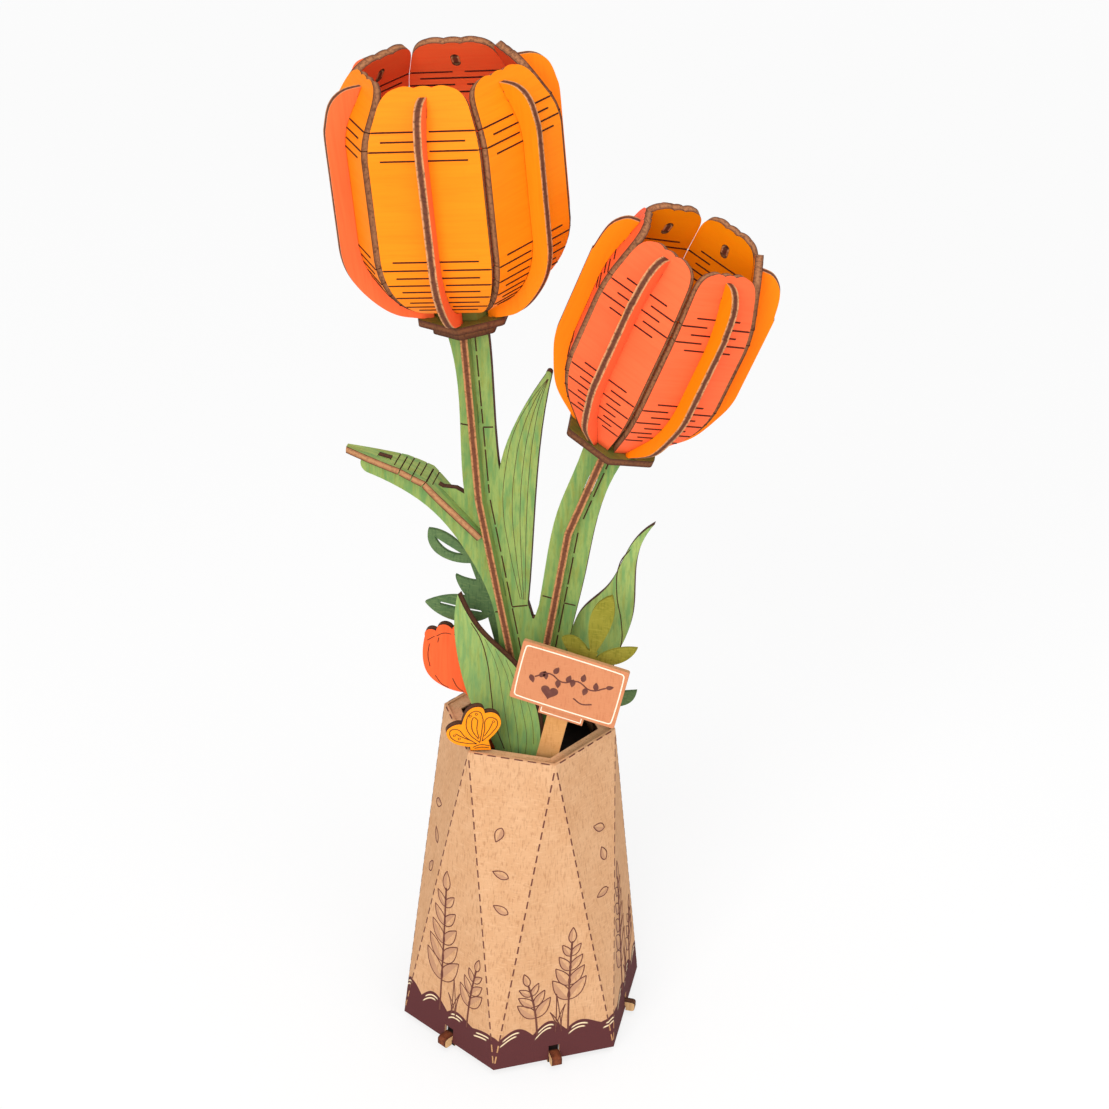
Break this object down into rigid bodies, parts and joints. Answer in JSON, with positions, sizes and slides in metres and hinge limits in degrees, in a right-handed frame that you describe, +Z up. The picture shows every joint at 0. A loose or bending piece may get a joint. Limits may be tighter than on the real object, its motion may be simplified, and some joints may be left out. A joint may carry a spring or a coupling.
{
  "type": "wooden tulips in a vase",
  "caption": "Upright ornament of tulips and leaves slotted together from laser-cut plywood, standing in a tapering folded card vase with a small sign on a stake.",
  "frame": {"origin": "middle of the base, on the surface that the base boards stand on", "axes": "+Z up, +X along the front edge of the rim to the viewer's right, +Y away from the viewer"},
  "size_m": [0.1096, 0.07, 0.2789],
  "materials": {
    "kraft_card": "matt kraft board with brown print",
    "soil_ply": "matt, nearly black",
    "bare_ply": "bare plywood with charred edges",
    "green_ply": "printed plywood with charred edges",
    "calyx_ply": "printed plywood with charred edges",
    "yellow_petal_ply": "printed plywood with charred edges",
    "coral_petal_ply": "printed plywood with charred edges",
    "red_rib_ply": "printed plywood with charred edges",
    "amber_rib_ply": "printed plywood with charred edges",
    "dark_green_card": "matt printed card",
    "olive_card": "matt printed card",
    "bud_ply": "printed plywood with charred edges",
    "butterfly_ply": "printed plywood with charred edges",
    "sign_card": "matt printed card",
    "stake_card": "matt printed card"
  },
  "bodies": {
    "bouquet": {"base_frame_left": "bare_ply", "base_frame_right": "bare_ply", "bud": "bud_ply", "butterfly": "butterfly_ply", "front_leaf": "green_ply", "left_calyx": "calyx_ply", "left_calyx_collar": "calyx_ply", "left_head_lock": "calyx_ply", "left_leaf_blade": "green_ply", "left_petal_1": "yellow_petal_ply", "left_petal_2": "yellow_petal_ply", "left_petal_3": "yellow_petal_ply", "left_petal_4": "yellow_petal_ply", "left_petal_5": "yellow_petal_ply", "left_petal_6": "yellow_petal_ply", "left_petal_seat": "calyx_ply", "left_rib_1": "red_rib_ply", "left_rib_2": "red_rib_ply", "left_rib_3": "red_rib_ply", "left_rib_4": "red_rib_ply", "left_rib_5": "red_rib_ply", "left_rib_6": "red_rib_ply", "left_sprig": "dark_green_card", "left_stem_spine_back": "green_ply", "left_stem_spine_front": "green_ply", "olive_sprig": "olive_card", "right_calyx": "calyx_ply", "right_head_lock": "calyx_ply", "right_leaf": "green_ply", "right_petal_1": "coral_petal_ply", "right_petal_2": "coral_petal_ply", "right_petal_3": "coral_petal_ply", "right_petal_4": "coral_petal_ply", "right_petal_5": "coral_petal_ply", "right_petal_6": "coral_petal_ply", "right_rib_1": "amber_rib_ply", "right_rib_2": "amber_rib_ply", "right_rib_3": "amber_rib_ply", "right_rib_4": "amber_rib_ply", "right_rib_5": "amber_rib_ply", "right_rib_6": "amber_rib_ply", "right_sprig": "dark_green_card", "right_stem_spine_back": "green_ply", "right_stem_spine_front": "green_ply", "soil_plate": "soil_ply", "stem_board": "green_ply", "vase_sleeve": "kraft_card"},
    "sign": {"sign_board": "sign_card", "sign_crossbar": "sign_card", "sign_stake": "stake_card"}
  },
  "joints": [
    {"name": "sign_lift", "type": "slide", "parent": "bouquet", "child": "sign", "axis": [0.1908, 0, 0.9816], "range_m": [0, 0.03]}
  ]
}
